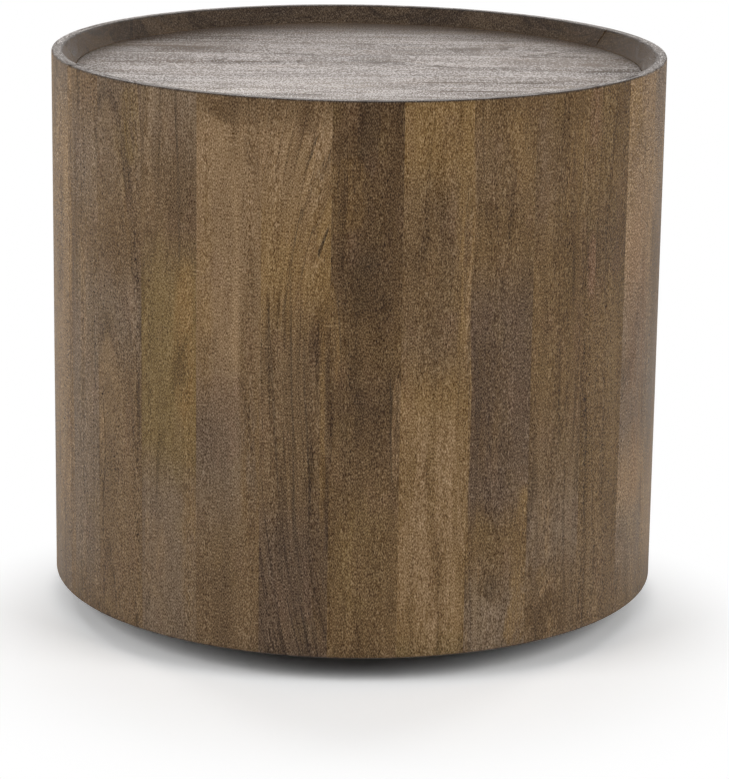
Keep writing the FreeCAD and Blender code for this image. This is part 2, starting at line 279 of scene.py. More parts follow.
class Graph:
    """The node tree of a material or of the world."""

    def __init__(self, owner):
        owner.use_nodes = True
        self.owner = owner
        self.tree = owner.node_tree
        self.tree.nodes.clear()

    def node(self, kind, settings=None, inputs=None, output=0):
        """Adds a node: its settings come first, then the values or links of its sockets."""
        made = self.tree.nodes.new(kind)
        for name, value in (settings or {}).items():
            if name == "stops":
                self.set_stops(made.color_ramp, value)
            else:
                setattr(made, name, value)
        for name, value in (inputs or {}).items():
            if isinstance(value, Wire):
                self.tree.links.new(value.socket, made.inputs[name])
            else:
                made.inputs[name].default_value = value
        return Wire(self, made.outputs[output]) if made.outputs else None

    @staticmethod
    def set_stops(ramp, stops):
        """Gives a colour ramp its stops, each a place and a colour."""
        ramp.interpolation = "EASE"
        for place, _ in stops[1:-1]:
            ramp.elements.new(place)
        for element, (place, colour) in zip(ramp.elements, stops):
            element.position = place
            element.color = (*colour, 1)

    def maths(self, operation, *values):
        """A Math node, or Vector Math where a value is a vector."""
        if any(self.is_vector(value) for value in values):
            return self.vector_maths(operation, *values)
        inputs = dict(enumerate(values))
        return self.node("ShaderNodeMath", {"operation": operation}, inputs)

    def vector_maths(self, operation, first, second, output="Vector"):
        """A Vector Math node. A vector times a value is scaled."""
        if operation == "MULTIPLY" and not self.is_vector(second):
            inputs = {0: first, "Scale": second}
            return self.node("ShaderNodeVectorMath", {"operation": "SCALE"}, inputs)
        inputs = {0: first, 1: second}
        return self.node("ShaderNodeVectorMath", {"operation": operation}, inputs, output)

    @staticmethod
    def is_vector(value):
        """Whether a wire or a constant is a vector or a colour."""
        if isinstance(value, Wire):
            return value.socket.type != "VALUE"
        return isinstance(value, (tuple, Vector))

    def joined(self, x, y, z):
        """A vector of three values."""
        return self.node("ShaderNodeCombineXYZ", None, {"X": x, "Y": y, "Z": z})

    def noise(self, place, detail, roughness=0.5):
        """Soft noise between 0 and 1 round a middle of a half."""
        inputs = {"Vector": place, "Scale": 1.0, "Detail": detail, "Roughness": roughness}
        return self.node("ShaderNodeTexNoise", {"noise_dimensions": "3D"}, inputs)

    def bell(self, value):
        """One where the value is zero, falling softly to zero."""
        return self.maths("EXPONENT", -(value * value))

    def rise(self, value, low, high):
        """A smooth step from 0 at the low value to 1 at the high value."""
        settings = {"interpolation_type": "SMOOTHSTEP"}
        inputs = {0: value, 1: low, 2: high, 3: 0.0, 4: 1.0}
        return self.node("ShaderNodeMapRange", settings, inputs)

    def gamma(self, colour, power):
        """A colour raised to a power."""
        return self.node("ShaderNodeGamma", None, {"Color": colour, "Gamma": power})

    def mix(self, factor, first, second):
        """A mix of two colours."""
        colours = [(*c, 1) if isinstance(c, tuple) else c for c in (first, second)]
        inputs = {0: factor, 6: colours[0], 7: colours[1]}
        return self.node("ShaderNodeMix", {"data_type": "RGBA"}, inputs, 2)

    def shades(self, factor, colour, low, high):
        """A mix of a darker and a lighter shade of one colour."""
        dark, light = (tuple(share * level for share in colour) for level in (low, high))
        return self.mix(factor, dark, light)

    def surface(self, colour, roughness, bump=None, others=None):
        """A surface shader, with a bump from a Bump node's inputs. Gives back the material."""
        inputs = {"Base Color": colour, "Roughness": roughness, **(others or {})}
        if bump:
            inputs["Normal"] = self.node("ShaderNodeBump", None, bump)
        shader = self.node("ShaderNodeBsdfPrincipled", None, inputs)
        self.node("ShaderNodeOutputMaterial", None, {"Surface": shader})
        return self.owner


# How each board looks. Places are shares: across the board from -0.5 on the left or front to
# 0.5, and down it from 0 at the top, or along it from 0 at the left end. A board has stains with
# their places down it. The heart of the tree has its place across as a share and its depth under
# the face in millimetres, and the grain bows in millimetres. A mark's edge is 1 where it is soft
# and near 0 where it is crisp.

Mark = namedtuple(
    "Mark", "stain strength across down half_width half_length lean bow edge", defaults=(0, 0, 1)
)
Knot = namedtuple("Knot", "across down size strength stain", defaults=("umber",))
Board = namedtuple(
    "Board",
    "stains heart marks lean bow tilt knots contrast lines pores coat",
    defaults=(0, 0, 0, (), 1, 1, 1, 1),
)


def look(stains, heart, *marks, **others):
    """A stave's look, with its marks given one after the other."""
    return Board(stains, heart, tuple(Mark(*mark) for mark in marks), **others)


def tray_look(stains, heart, *marks, **others):
    """A tray plank's look. Its marks are all in umber."""
    return look(stains, heart, *(("umber", *mark) for mark in marks), **others)


DRUM_BOARDS = {
    # stave_23 and stave_24, at the drum's left edge, get light tan and ash stains: partly their
    # own tone, partly a painted sheen for the pale gloss along that edge.
    "stave_23": look(((0, "tan"), (1, "tan")), (0.3, 90), pores=2.2),
    "stave_24": look(((0, "ash"), (0.15, "tan"), (0.75, "tan"), (1, "ash")), (0.6, 80), pores=2),
    "stave_25": look(
        ((0, "tobacco"), (0.15, "ash"), (0.3, "tobacco"), (0.45, "ash"), (0.86, "ash"),
         (1, "tobacco")),
        (0.9, 60),
        ("walnut", 0.4, -0.2, 0.3, 0.02, 0.2),
        ("walnut", 0.4, 0.32, 0.46, 0.025, 0.12, -0.3),
        ("walnut", 0.3, 0.1, 0.08, 0.03, 0.04),
        ("tan", 0.5, -0.42, 0.45, 0.1, 0.6),
        ("tan", 0.3, 0.02, 0.42, 0.06, 0.2),
        pores=1.6,
    ),
    "stave_26": look(
        ((0, "ash"), (0.28, "tobacco"), (0.42, "ash"), (0.55, "tobacco")),
        (-0.3, 55),
        ("olive", 0.4, 0.22, 0.08, 0.25, 0.07),
        ("walnut", 0.3, 0.05, 0.29, 0.35, 0.07),
        ("tan", 0.45, -0.42, 0.66, 0.1, 0.05),
        ("umber", 0.5, -0.36, 0.68, 0.022, 0.1, 0, -9),
        ("umber", 0.35, -0.41, 0.86, 0.016, 0.14),
        ("umber", 0.3, 0.46, 0.58, 0.02, 0.12),
        tilt=-0.1, lines=1.3, pores=1.3,
    ),
    "stave_27": look(
        ((0, "ash"), (0.22, "tobacco"), (0.4, "olive"), (0.62, "olive"), (0.75, "ash")),
        (0.4, 120),
        ("umber", 0.5, 0.18, 0.13, 0.022, 0.17, 0.1),
        ("umber", 0.3, 0.24, 0.42, 0.02, 0.12, 0.3),
        ("walnut", 0.4, -0.4, 0.06, 0.07, 0.04),
        ("honey", 0.7, 0.32, 0.45, 0.17, 0.14),
        ("honey", 0.4, 0.38, 0.75, 0.12, 0.3),
        ("tan", 0.3, -0.25, 0.86, 0.22, 0.08),
    ),
    "stave_28": look(
        ((0, "tobacco"), (0.08, "tan"), (0.42, "tan"), (0.62, "ash"), (0.88, "tobacco")),
        (-0.6, 150),
        ("walnut", 0.6, -0.14, 0.025, 0.2, 0.018),
        ("plum", 0.3, 0.3, 0.1, 0.08, 0.03, 1.5),
        ("rose", 0.25, -0.05, 0.58, 0.4, 0.08),
        ("honey", 0.4, -0.36, 0.35, 0.13, 0.18),
        ("tobacco", 0.7, 0.36, 0.6, 0.16, 0.34, 0, 0, 0.7),
    ),
    "stave_29": look(
        ((0, "tobacco"), (0.08, "tan"), (0.3, "honey"), (0.47, "tobacco"), (0.68, "tobacco"),
         (0.8, "plum")),
        (1.2, 30),
        ("honey", 0.4, 0.44, 0.28, 0.08, 0.17),
        ("walnut", 0.5, 0.14, 0.035, 0.13, 0.03),
        ("umber", 0.6, 0.22, 0.09, 0.03, 0.03, -2.4),
        ("umber", 0.6, 0.4, 0.11, 0.03, 0.025, -2.4),
        ("umber", 0.6, 0.42, 0.255, 0.02, 0.025, -2),
        ("umber", 0.45, 0.1, 0.2, 0.014, 0.09, -2.4, 5),
        ("umber", 0.4, 0.24, 0.24, 0.012, 0.1, -2.4, 5),
        ("umber", 0.35, -0.06, 0.3, 0.014, 0.12, -1.2, 2),
        ("umber", 0.4, -0.04, 0.56, 0.018, 0.3, 0.1, 0.5),
        ("umber", 0.4, 0.2, 0.7, 0.018, 0.3, 0.3, 0.5),
        ("umber", 0.35, -0.3, 0.6, 0.02, 0.25, 0.4, 0.5),
        ("umber", 0.35, 0.08, 0.85, 0.03, 0.18, 0.6),
        ("walnut", 0.4, 0.35, 0.8, 0.12, 0.2),
        ("honey", 0.4, 0.4, 0.6, 0.04, 0.2, -0.1),
        bow=-26, lines=1.5,
    ),
    "stave_01": look(
        ((0.3, "walnut"), (0.42, "bark"), (0.55, "walnut"), (0.8, "bark")),
        (0.2, 60),
        ("umber", 0.25, 0, 0.05, 0.16, 0.075, 0, 0, 0.15),
        ("bark", 0.5, -0.3, 0.17, 0.3, 0.07, -1, 0, 0.2),
        ("umber", 0.14, 0.05, 0.4, 0.34, 0.16, 0, 0, 0.15),
        ("honey", 0.4, -0.43, 0.4, 0.05, 0.09, 0.5, 0, 0.3),
        ("umber", 0.4, -0.37, 0.4, 0.012, 0.08, 0.3),
        ("tan", 0.5, 0.45, 0.58, 0.06, 0.095, 0, 0, 0.15),
        ("umber", 0.5, 0.38, 0.58, 0.014, 0.1, 0.4, 0, 0.5),
        ("olive", 0.3, -0.05, 0.82, 0.35, 0.1),
        contrast=0.8, knots=(Knot(0.03, 0.287, 8, 0.25),),
    ),
    "stave_02": look(
        ((0.08, "honey"), (0.2, "tobacco"), (0.42, "tobacco"), (0.54, "honey"), (0.93, "honey"),
         (1, "olive")),
        (-0.7, 100),
        ("bark", 0.3, -0.22, 0.28, 0.26, 0.12),
        ("honey", 0.5, 0.36, 0.25, 0.12, 0.22),
        ("tan", 0.5, 0.46, 0.27, 0.03, 0.22),
        ("tan", 0.6, 0, 0.78, 0.5, 0.22),
    ),
    "stave_03": look(
        ((0, "bark"), (0.12, "tobacco"), (0.25, "bark"), (0.4, "plum"), (0.7, "plum"),
         (0.8, "bark"), (0.93, "ash")),
        (0.5, 70),
        ("honey", 0.3, 0.2, 0.1, 0.25, 0.07),
        ("walnut", 0.3, -0.2, 0.55, 0.3, 0.12),
        ("honey", 0.6, 0.38, 0.82, 0.12, 0.1, -0.6),
        ("honey", 0.5, 0.34, 0.95, 0.2, 0.05, -1.5, 0, 0.3),
        ("walnut", 0.55, -0.09, 0.88, 0.15, 0.03, 0.6, 0, 0.3),
        ("tan", 0.5, -0.27, 0.862, 0.03, 0.02, 0.8),
        ("honey", 0.4, -0.49, 0.5, 0.02, 0.6),
        knots=(Knot(-0.08, 0.882, 7, 0.35),),
    ),
    "stave_04": look(
        ((0, "bark"), (0.15, "tobacco"), (0.3, "bark"), (0.5, "bark"), (0.65, "tobacco"),
         (0.8, "ash"), (0.9, "tobacco")),
        (-0.8, 60),
        ("honey", 0.4, 0.22, 0.15, 0.24, 0.1),
        ("plum", 0.4, -0.34, 0.1, 0.14, 0.13),
        ("tan", 0.5, -0.15, 0.78, 0.15, 0.06),
        ("walnut", 0.5, -0.1, 0.95, 0.38, 0.035, 0, 0, 0.3),
        ("tan", 0.6, -0.2, 0.905, 0.07, 0.014, -9, 0, 0.5),
        ("tan", 0.45, -0.06, 0.985, 0.05, 0.018, -3),
        ("walnut", 0.5, -0.38, 0.865, 0.04, 0.02, 1),
        knots=(Knot(-0.19, 0.874, 6, 0.4, "honey"),),
    ),
    "stave_05": look(
        ((0.15, "bark"), (0.28, "walnut"), (0.4, "bark"), (0.7, "bark"), (0.9, "tobacco")),
        (0.9, 110),
        ("rose", 0.5, -0.32, 0.33, 0.12, 0.05),
        ("rose", 0.3, -0.35, 0.05, 0.15, 0.06),
        ("walnut", 0.3, 0.44, 0.4, 0.07, 0.5),
        pores=1.4,
    ),
    "stave_06": look(
        ((0.3, "tan"), (0.5, "ash"), (0.62, "ash"), (0.75, "tan"), (0.85, "ash"), (1, "tobacco")),
        (-0.5, 130),
        ("honey", 0.4, -0.3, 0.06, 0.25, 0.06),
        ("rose", 0.3, 0, 0.5, 0.4, 0.3),
        pores=1.7,
    ),
    # stave_07 and stave_08, at the drum's right edge, get light ash and tan stains: partly their
    # own tone, partly a painted sheen for the pale gloss along that edge.
    "stave_07": look(
        ((0, "ash"), (0.2, "tan"), (0.38, "tobacco"), (0.6, "ash"), (0.85, "tan"),
         (1, "tobacco")),
        (0.8, 90),
        pores=2.1,
    ),
    "stave_08": look(((0, "ash"), (0.5, "tobacco"), (1, "ash")), (-0.2, 90), pores=2.2),
}

# The boards at the back have one of these looks each, in a fixed mixed order.
BACK_BOARDS = [
    look(((0, "walnut"), (0.4, "tobacco"), (1, "walnut")), (0.8, 50), lean=0.06),
    look(((0.5, "tobacco"), (1, "honey")), (-0.9, 90), lean=-0.04),
    look(((0, "walnut"), (0.6, "plum"), (1, "walnut")), (0.3, 60), lean=0.1),
    look(((0, "tobacco"), (0.4, "olive"), (1, "tobacco")), (-0.3, 55), bow=10, tilt=-0.1),
    look(
        ((0, "walnut"), (0.5, "umber"), (1, "tobacco")),
        (-0.4, 70),
        lean=0.03, knots=(Knot(0.1, 0.62, 12, 0.6),),
    ),
    look(((0, "tobacco"), (0.5, "rose"), (1, "tobacco")), (0.6, 120), lean=-0.02),
]

DRIFTWOOD = ((0, "driftwood"), (1, "driftwood"))
TRAY_BOARDS = [
    tray_look(DRIFTWOOD, (0.5, 60)),
    tray_look(DRIFTWOOD, (-0.4, 60)),
    tray_look(
        ((0, "pebble"), (1, "pebble")),
        (0.7, 60),
        (0.3, 0.26, 0.46, 0.08, 0.04),
        (0.24, 0.05, 0.4, 0.05, 0.05),
        (0.6, 0.48, 0.26, 0.03, 0.05),
        (0.6, 0.49, 0.7, 0.02, 0.09),
        lean=0.01, coat=1.7,
    ),
    tray_look(
        ((0, "driftwood"), (0.4, "pebble")),
        (-0.8, 90),
        (0.5, 0.18, 0.63, 0.018, 0.16),
        (0.7, 0.22, 0.804, 0.02, 0.033),
        (0.24, -0.05, 0.163, 0.15, 0.02),
        (0.5, 0.48, 0.131, 0.02, 0.052),
        (0.3, -0.2, 0.68, 0.015, 0.2),
        lean=0.02, coat=1.35,
    ),
    tray_look(
        DRIFTWOOD,
        (0.5, 50),
        (0.24, 0.2, 0.454, 0.05, 0.03, -6),
        (0.9, 0.48, 0.641, 0.03, 0.024),
        (0.21, 0, 0.95, 0.5, 0.05),
        (0.18, -0.1, 0.3, 0.04, 0.12),
        lean=0.02, coat=1.1,
    ),
    tray_look(
        DRIFTWOOD,
        (0.2, 40),
        (0.3, -0.15, 0.248, 0.28, 0.017, -6),
        (0.3, -0.34, 0.298, 0.08, 0.028),
        (0.24, 0.06, 0.328, 0.06, 0.014),
        (0.3, -0.34, 0.348, 0.15, 0.011),
        (0.3, -0.19, 0.396, 0.13, 0.009),
        (0.18, -0.26, 0.474, 0.08, 0.01),
        (0.18, -0.3, 0.565, 0.35, 0.04),
        (0.8, -0.33, 0.6435, 0.2, 0.003),
        (0.9, -0.49, 0.641, 0.03, 0.024),
        (0.21, -0.25, 0.95, 0.25, 0.05),
        (1, 0.48, 0.858, 0.035, 0.062),
        (0.7, 0.49, 0.096, 0.025, 0.08),
        (0.42, 0.47, 0.6, 0.05, 0.01),
        (0.5, 0.45, 0.387, 0.02, 0.05, -1),
        lean=-0.03,
    ),
    tray_look(
        ((0.7, "driftwood"), (1, "pebble")),
        (-0.3, 50),
        (0.9, 0.01, 0.8756, 0.035, 0.042, 8.4),
        (0.48, -0.42, 0.826, 0.08, 0.022),
        (1, -0.49, 0.858, 0.03, 0.062),
        (0.24, 0.1, 0.704, 0.3, 0.03, 5),
        (0.36, 0.25, 0.771, 0.2, 0.008),
        (0.36, 0.07, 0.817, 0.15, 0.013),
        (0.24, -0.1, 0.402, 0.04, 0.05, -1.5),
        (0.4, -0.3, 0.294, 0.02, 0.043),
        (0.24, 0.45, 0.511, 0.1, 0.017),
        (0.24, 0.2, 0.15, 0.5, 0.12),
        coat=0.9,
    ),
    tray_look(
        ((0, "umber"), (0.3, "driftwood")),
        (0.9, 60),
        (0.3, -0.28, 0.771, 0.2, 0.008),
        (0.6, -0.03, 0.413, 0.03, 0.055, -1.5),
        (0.27, 0, 0.17, 0.6, 0.13),
        lean=0.02, coat=1.1,
    ),
    tray_look(DRIFTWOOD, (0.4, 80)),
]


# Stained wood. A grain has the sizes of its fibres and dots, and its relief, in millimetres.

Place = namedtuple("Place", "origin across outward along width length")
Grain = namedtuple(
    "Grain",
    "coarseness fibre_width fibre_length fibre_contrast dot_width dot_length dot_contrast"
    " relief roughness shine coat",
)

# Sizes in millimetres of the patterns across the face, into it and along the board
DRIFT_SIZES = (45, 45, 160)
WANDER_SIZES = (14, 14, 55)
CLOUD_SIZES = (20, 20, 45)
TINGE_SIZES = (17, 17, 38)
# The same over the rings, along the board and into the face
BROAD_SIZES = (9, 260, 60)
STREAK_SIZES = (2.6, 90, 9)
RING_EDGE_SIZES = (8, 400, 60)
# How far the fibres and the dots reach into the face
FIBRE_DEPTH = 1.2
DOT_DEPTH = 1.1
# How far the slow and the quick drift bend the grain
DRIFT_BEND = 12
WANDER_BEND = 3
# The power between a linear colour and the same colour as the eye sees it
EYE_POWER = 2.2
# Red, green and blue of a streak, which is warmer than the wood
STREAK_TINT = (1.1, 1.0, 0.85)


def wall_grain(stains, pores):
    """The fine grain of the staves, with wider pores in some."""
    return Grain(
        coarseness=1,
        fibre_width=pores,
        fibre_length=9,
        fibre_contrast=0.14,
        dot_width=0.6 * pores,
        dot_length=1.7,
        dot_contrast=0.55 * (0.85 + 0.15 * pores),
        relief=0.45 * pores,
        roughness=stains.wall_roughness,
        shine=0.13,
        coat=0,
    )


def tray_grain(stains, coat):
    """The coarser, washed-out grain of the tray planks, with a coat that fills some of it."""
    return Grain(
        coarseness=2.2,
        fibre_width=3,
        fibre_length=12,
        fibre_contrast=0.2,
        dot_width=2.4,
        dot_length=1.3,
        dot_contrast=0.3,
        relief=0.4,
        roughness=stains.tray_roughness,
        shine=0.09,
        coat=coat,
    )


def stave_place(name):
    """Where a stave's pattern starts and runs: from the top of its face, downwards."""
    turn = stave_bearing(name)
    return Place(
        plan_point(DRUM_RADIUS, turn, DRUM_TOP),
        Vector((math.cos(turn), math.sin(turn), 0)),
        plan_point(1, turn),
        Vector((0, 0, -1)),
        2 * DRUM_RADIUS * math.sin(HALF_STAVE),
        DRUM_TOP - DRUM_FOOT,
    )


def plank_place(low, high):
    """Where a plank's pattern starts and runs: from its left end, to the right."""
    return Place(
        Vector((-TRAY_RADIUS, (low + high) / 2, TRAY_FLOOR)),
        Vector((0, 1, 0)),
        Vector((0, 0, 1)),
        Vector((1, 0, 0)),
        high - low,
        2 * TRAY_RADIUS,
    )


def knot_pull(knot, across, along, width, length):
    """Distance from a knot in knot sizes, squared, stretched along the grain."""
    beside = (across - knot.across * width) / knot.size
    beyond = (along - knot.down * length) / (knot.size * 1.25)
    return beside * beside + beyond * beyond


def mark_mask(graph, mark, across_share, down_share):
    """Where a mark of other wood lies. Its middle line leans and bows down the board."""
    down = down_share - mark.down
    middle = mark.across + down * mark.lean + down * down * mark.bow
    beside = (across_share - middle) / mark.half_width
    beyond = down / mark.half_length
    beyond_squared = beyond * beyond
    spread = beside * beside + beyond_squared * beyond_squared
    return 1 - graph.rise(spread, 1 - mark.edge, 1 + mark.edge)


def board_wood(name, place, board, seed, stains, grain):
    """Stained and satin-lacquered wood with the board's own tones, rings, marks and knots."""
    graph = Graph(bpy.data.materials.new(name))
    width = place.width / MM
    length = place.length / MM
    shift = Vector((seed * 37.7, seed * 11.3, seed * 23.9))

    def tone(stain_name):
        return tuple(getattr(stains, stain_name))

    def pattern(values, sizes, detail, offset=shift, roughness=0.5):
        parts = [value / size for value, size in zip(values, sizes)]
        return graph.noise(graph.joined(*parts) + offset, detail, roughness)

    point = graph.node("ShaderNodeTexCoord", None, None, "Object")
    local = (point - place.origin) / MM
    across = local.dot(place.across)
    depth = -local.dot(place.outward)
    along = local.dot(place.along)
    over_face = (across, depth, along)
    into_face = (across, along, depth)

    bent = across
    pulls = [knot_pull(knot, across, along, width, length) for knot in board.knots]
    for knot, pull in zip(board.knots, pulls):
        bent = bent - (across - knot.across * width) * graph.bell(pull * 0.35) * 0.85

    # Slow drift of the grain, then the distance from the heart of the tree
    drift = pattern(over_face, DRIFT_SIZES, 1.0) - 0.5
    wander = pattern(over_face, WANDER_SIZES, 1.0) - 0.5
    bent = bent + drift * DRIFT_BEND + wander * WANDER_BEND
    heart_across, heart_depth = board.heart
    from_end = along / length
    sway = along * board.lean + from_end * (1 - from_end) * (4 * board.bow)
    beside = bent - heart_across * width - sway
    below = depth + heart_depth + along * board.tilt
    ring = graph.maths("SQRT", beside * beside + below * below) / grain.coarseness

    over_rings = (ring, along, depth)
    broad = pattern(over_rings, BROAD_SIZES, 2.0)
    streak = pattern(over_rings, STREAK_SIZES, 3.0, roughness=0.6)
    ring_edge = pattern(over_rings, RING_EDGE_SIZES, 1.0, -shift)
    fibre = pattern(into_face, (grain.fibre_width, grain.fibre_length, FIBRE_DEPTH), 1.0)
    speckle = pattern(into_face, (grain.dot_width, grain.dot_length, DOT_DEPTH), 0.0, -shift)
    cloud = pattern(over_face, CLOUD_SIZES, 2.0)
    tinge = pattern(over_face, TINGE_SIZES, 2.0, -shift)

    # Stains down the board with reddish and greenish clouds, then its marks and knots
    across_share = bent / width + (streak - 0.5) * 0.04
    down_share = from_end + (cloud - 0.5) * 0.05 + (streak - 0.5) * 0.06
    stops = [(share, tone(stain_name)) for share, stain_name in board.stains]
    colour = graph.node("ShaderNodeValToRGB", {"stops": stops}, {"Fac": down_share})
    for haze, stain_name in ((tinge, "rose"), (cloud, "olive")):
        haziness = graph.rise(haze, 0.5, 0.75) * stains.hue_drift
        colour = graph.mix(haziness, colour, tone(stain_name))
    dull = (streak - 0.5) * 2.0 + (fibre - 0.5) * 0.8 + (speckle - 0.5) * 3.0
    ragged = 0.4 + 1.2 * graph.rise(streak + (fibre - 0.5) * 0.6, 0.38, 0.62)
    for mark in board.marks:
        mask = mark_mask(graph, mark, across_share, down_share) * ragged * mark.strength
        colour = graph.mix(mask, colour, tone(mark.stain))
        dull = dull + mask * 1.6
    for knot, pull in zip(board.knots, pulls):
        heart = graph.bell(pull * 0.8) * knot.strength
        knot_rings = (graph.maths("SQRT", pull) * 4, seed, across / 25)
        heart = heart * (0.4 + graph.noise(graph.joined(*knot_rings), 1.0) * 1.2)
        colour = graph.mix(heart, colour, tone(knot.stain))
        colour = graph.mix(graph.bell(pull * 60) * 0.8, colour, tone("umber"))

    # A face cut across the grain drinks more stain and shines less
    facing = graph.node("ShaderNodeNewGeometry", None, None, "Normal").dot(place.along)
    end_grain = graph.maths("ABSOLUTE", facing)
    colour = graph.mix(end_grain * stains.end_grain, colour, tone("end_stain"))

    # Lighter and darker grain, added to the colour as the eye sees it
    long_grain = stains.streak_contrast * board.contrast
    ring_line = 1 - graph.rise(graph.maths("ABSOLUTE", ring_edge - 0.5), 0.0, 0.05)
    ring_line = ring_line * graph.rise(cloud, 0.35, 0.6)
    streaks = (broad - 0.5) * (0.13 * long_grain) + (streak - 0.5) * (0.17 * long_grain)
    streaks = streaks - ring_line * (stains.line_depth * board.lines)
    dots = (fibre - 0.5) * (grain.fibre_contrast * stains.speckle_contrast)
    dots = dots + (speckle - 0.5) * (grain.dot_contrast * stains.speckle_contrast)
    seen = graph.gamma(colour, 1 / EYE_POWER) + streaks * STREAK_TINT + dots

    roughness = grain.roughness + dull * (grain.shine + end_grain * stains.end_sparkle)
    roughness = roughness + end_grain * (1 - end_grain) * stains.end_roughness
    height = fibre * 0.5 + speckle + streak * 0.6 - ring_line * 0.2
    bump = {"Strength": 0.6, "Distance": grain.relief * MM, "Height": height}
    others = {"IOR": stains.lacquer_index}
    if grain.coat:
        filled = (0.5 - speckle) * 3 + (0.5 - streak) * 2 - dull
        others["Coat Weight"] = graph.rise(filled, -0.6, 0.8) * grain.coat
        others["Coat Roughness"] = stains.tray_roughness
        others["Coat IOR"] = stains.lacquer_index
    return graph.surface(graph.gamma(seen, EYE_POWER), roughness, bump, others)


# Shaping

# Edges that turn by more than this stay sharp
SHARP_TURN = math.radians(32)
# Straight steps in the rounding of each kind of edge
RIM_STEPS, FOOT_STEPS, TRAY_EDGE_STEPS = 6, 4, 3
TRAY_STEPS = 240
# From one wave of hand sanding to the next
WAVE_LENGTH = 55 * MM
# How far a plank's bar reaches over the tray's outline before it is cut
SPARE = 10 * MM


def placed(name, data):
    """A new object in the scene."""
    thing = bpy.data.objects.new(name, data)
    bpy.context.scene.collection.objects.link(thing)
    return thing


def new_piece(name, mesh, material, node):
    """An object that stands for a node of the frame, in its material."""
    piece = placed(name, mesh)
    mesh.materials.append(material)
    mesh.shade_smooth()
    mesh.set_sharp_from_angle(angle=SHARP_TURN)
    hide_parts(node)
    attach(piece, "root")


def loft(levels):
    """A closed mesh through level outlines that have the same number of points."""
    shape = bmesh.new()
    rows = [[shape.verts.new(point) for point in level] for level in levels]
    for lower, upper in zip(rows, rows[1:]):
        for place in range(len(lower)):
            after = (place + 1) % len(lower)
            shape.faces.new((lower[place], lower[after], upper[after], upper[place]))
    shape.faces.new(list(reversed(rows[0])))
    shape.faces.new(rows[-1])
    mesh = bpy.data.meshes.new("board")
    shape.to_mesh(mesh)
    shape.free()
    return mesh


def bevel_points(angle, half_width, depth, taper):
    """Tongue or groove points on one bevelled edge, from outside to inside."""
    middle = (DRUM_RADIUS + RIM_TOP_RADIUS) / 2
    step = Vector((math.cos(angle), math.sin(angle), 0)) * depth
    return [
        plan_point(middle + half_width, angle),
        plan_point(middle + half_width - taper, angle) + step,
        plan_point(middle - half_width + taper, angle) + step,
        plan_point(middle - half_width, angle),
    ]


def stave_level(sizes, height, outer, inner, flat, turn):
    """Plan of one level cut through a stave, anticlockwise from above."""
    steps = sizes.arc_steps
    ease_turn = sizes.joint_ease / DRUM_RADIUS
    reach_turn = HALF_STAVE - ease_turn
    turns = [reach_turn * (2 * step / steps - 1) for step in range(steps + 1)]
    outside = [plan_point(outer, angle) for angle in turns]
    outside.insert(0, plan_point(outer - sizes.joint_ease, -HALF_STAVE))
    outside.append(plan_point(outer - sizes.joint_ease, HALF_STAVE))
    half_tongue = sizes.tongue_width / 2
    tongue = bevel_points(HALF_STAVE, half_tongue, sizes.tongue_depth, sizes.tongue_taper)
    groove = bevel_points(
        -HALF_STAVE,
        half_tongue + sizes.glue_gap,
        sizes.tongue_depth + sizes.glue_gap,
        sizes.tongue_taper,
    )
    turns = [HALF_STAVE * (1 - 2 * step / steps) for step in range(steps + 1)]
    inside = [plan_point(inner / math.cos(angle) if flat else inner, angle) for angle in turns]
    outline = outside + tongue + inside + list(reversed(groove))
    spin = Matrix.Rotation(turn, 3, "Z")
    return [spin @ point + Vector((0, 0, height)) for point in outline]


def quarter(steps):
    """Shares across and up along a quarter round that turns from level to upright."""
    angles = [math.pi / 2 * step / steps for step in range(steps + 1)]
    return [(math.sin(angle), 1 - math.cos(angle)) for angle in angles]


def drawn_back(radius, below_top):
    """How far a rounded upper edge lies back at a depth below the top."""
    rise = max(0, 1 - below_top / radius)
    return radius * (1 - math.sqrt(1 - rise * rise))


def rim_heights(sizes):
    """Heights of the levels through the rim, close together where its edges are round."""
    rounds = (sizes.rim_round, sizes.rim_inner_round)
    depths = {radius * up for radius in rounds for _, up in quarter(RIM_STEPS)}
    depths.add((DRUM_TOP - TRAY_FLOOR + sizes.rim_round) / 2)
    return [DRUM_TOP - depth for depth in sorted(depths, reverse=True)]


def stave_levels(sizes, turn, proud):
    """Level cuts through a stave from the foot to the rim."""
    levels = []

    def add(height, outer, inner, flat=False):
        levels.append(stave_level(sizes, height, outer, inner, flat, turn))

    foot = sizes.foot_round
    for across, up in quarter(FOOT_STEPS):
        add(DRUM_FOOT + foot * up, DRUM_RADIUS - foot * (1 - across), REBATE_RADIUS)
    add(BASE_TOP, DRUM_RADIUS, REBATE_RADIUS)
    for step in range(sizes.wall_steps + 1):
        height = BASE_TOP + (TRAY_LEDGE - BASE_TOP) * step / sizes.wall_steps
        add(height, DRUM_RADIUS, INNER_FLAT, True)
    add(TRAY_LEDGE, DRUM_RADIUS, RIM_FOOT_RADIUS)
    add(TRAY_FLOOR, DRUM_RADIUS, RIM_FOOT_RADIUS)
    rim_height = DRUM_TOP - TRAY_FLOOR
    for height in rim_heights(sizes):
        below = DRUM_TOP - height
        slant = (RIM_TOP_RADIUS - RIM_FOOT_RADIUS) * (height - TRAY_FLOOR) / rim_height
        inner = RIM_FOOT_RADIUS + slant - proud + drawn_back(sizes.rim_inner_round, below)
        add(height, DRUM_RADIUS - drawn_back(sizes.rim_round, below), inner)
    return levels


def wave_outside(mesh, depth):
    """Takes a little off the outside in slow waves, as sanding by hand does."""
    for vertex in mesh.vertices:
        if reach(vertex.co) > DRUM_RADIUS - MM / 2:
            hollow = 0.5 + 0.5 * noise.noise(vertex.co / WAVE_LENGTH)
            outward = Vector((vertex.co.x, vertex.co.y, 0)).normalized()
            vertex.co -= outward * depth * min(max(hollow, 0), 1)


def stave_look(name, order):
    """The look of a stave: its own where it can be seen, or one of the back boards."""
    if name in DRUM_BOARDS:
        return DRUM_BOARDS[name]
    return BACK_BOARDS[order[STAVE_NAMES.index(name) % len(order)]]


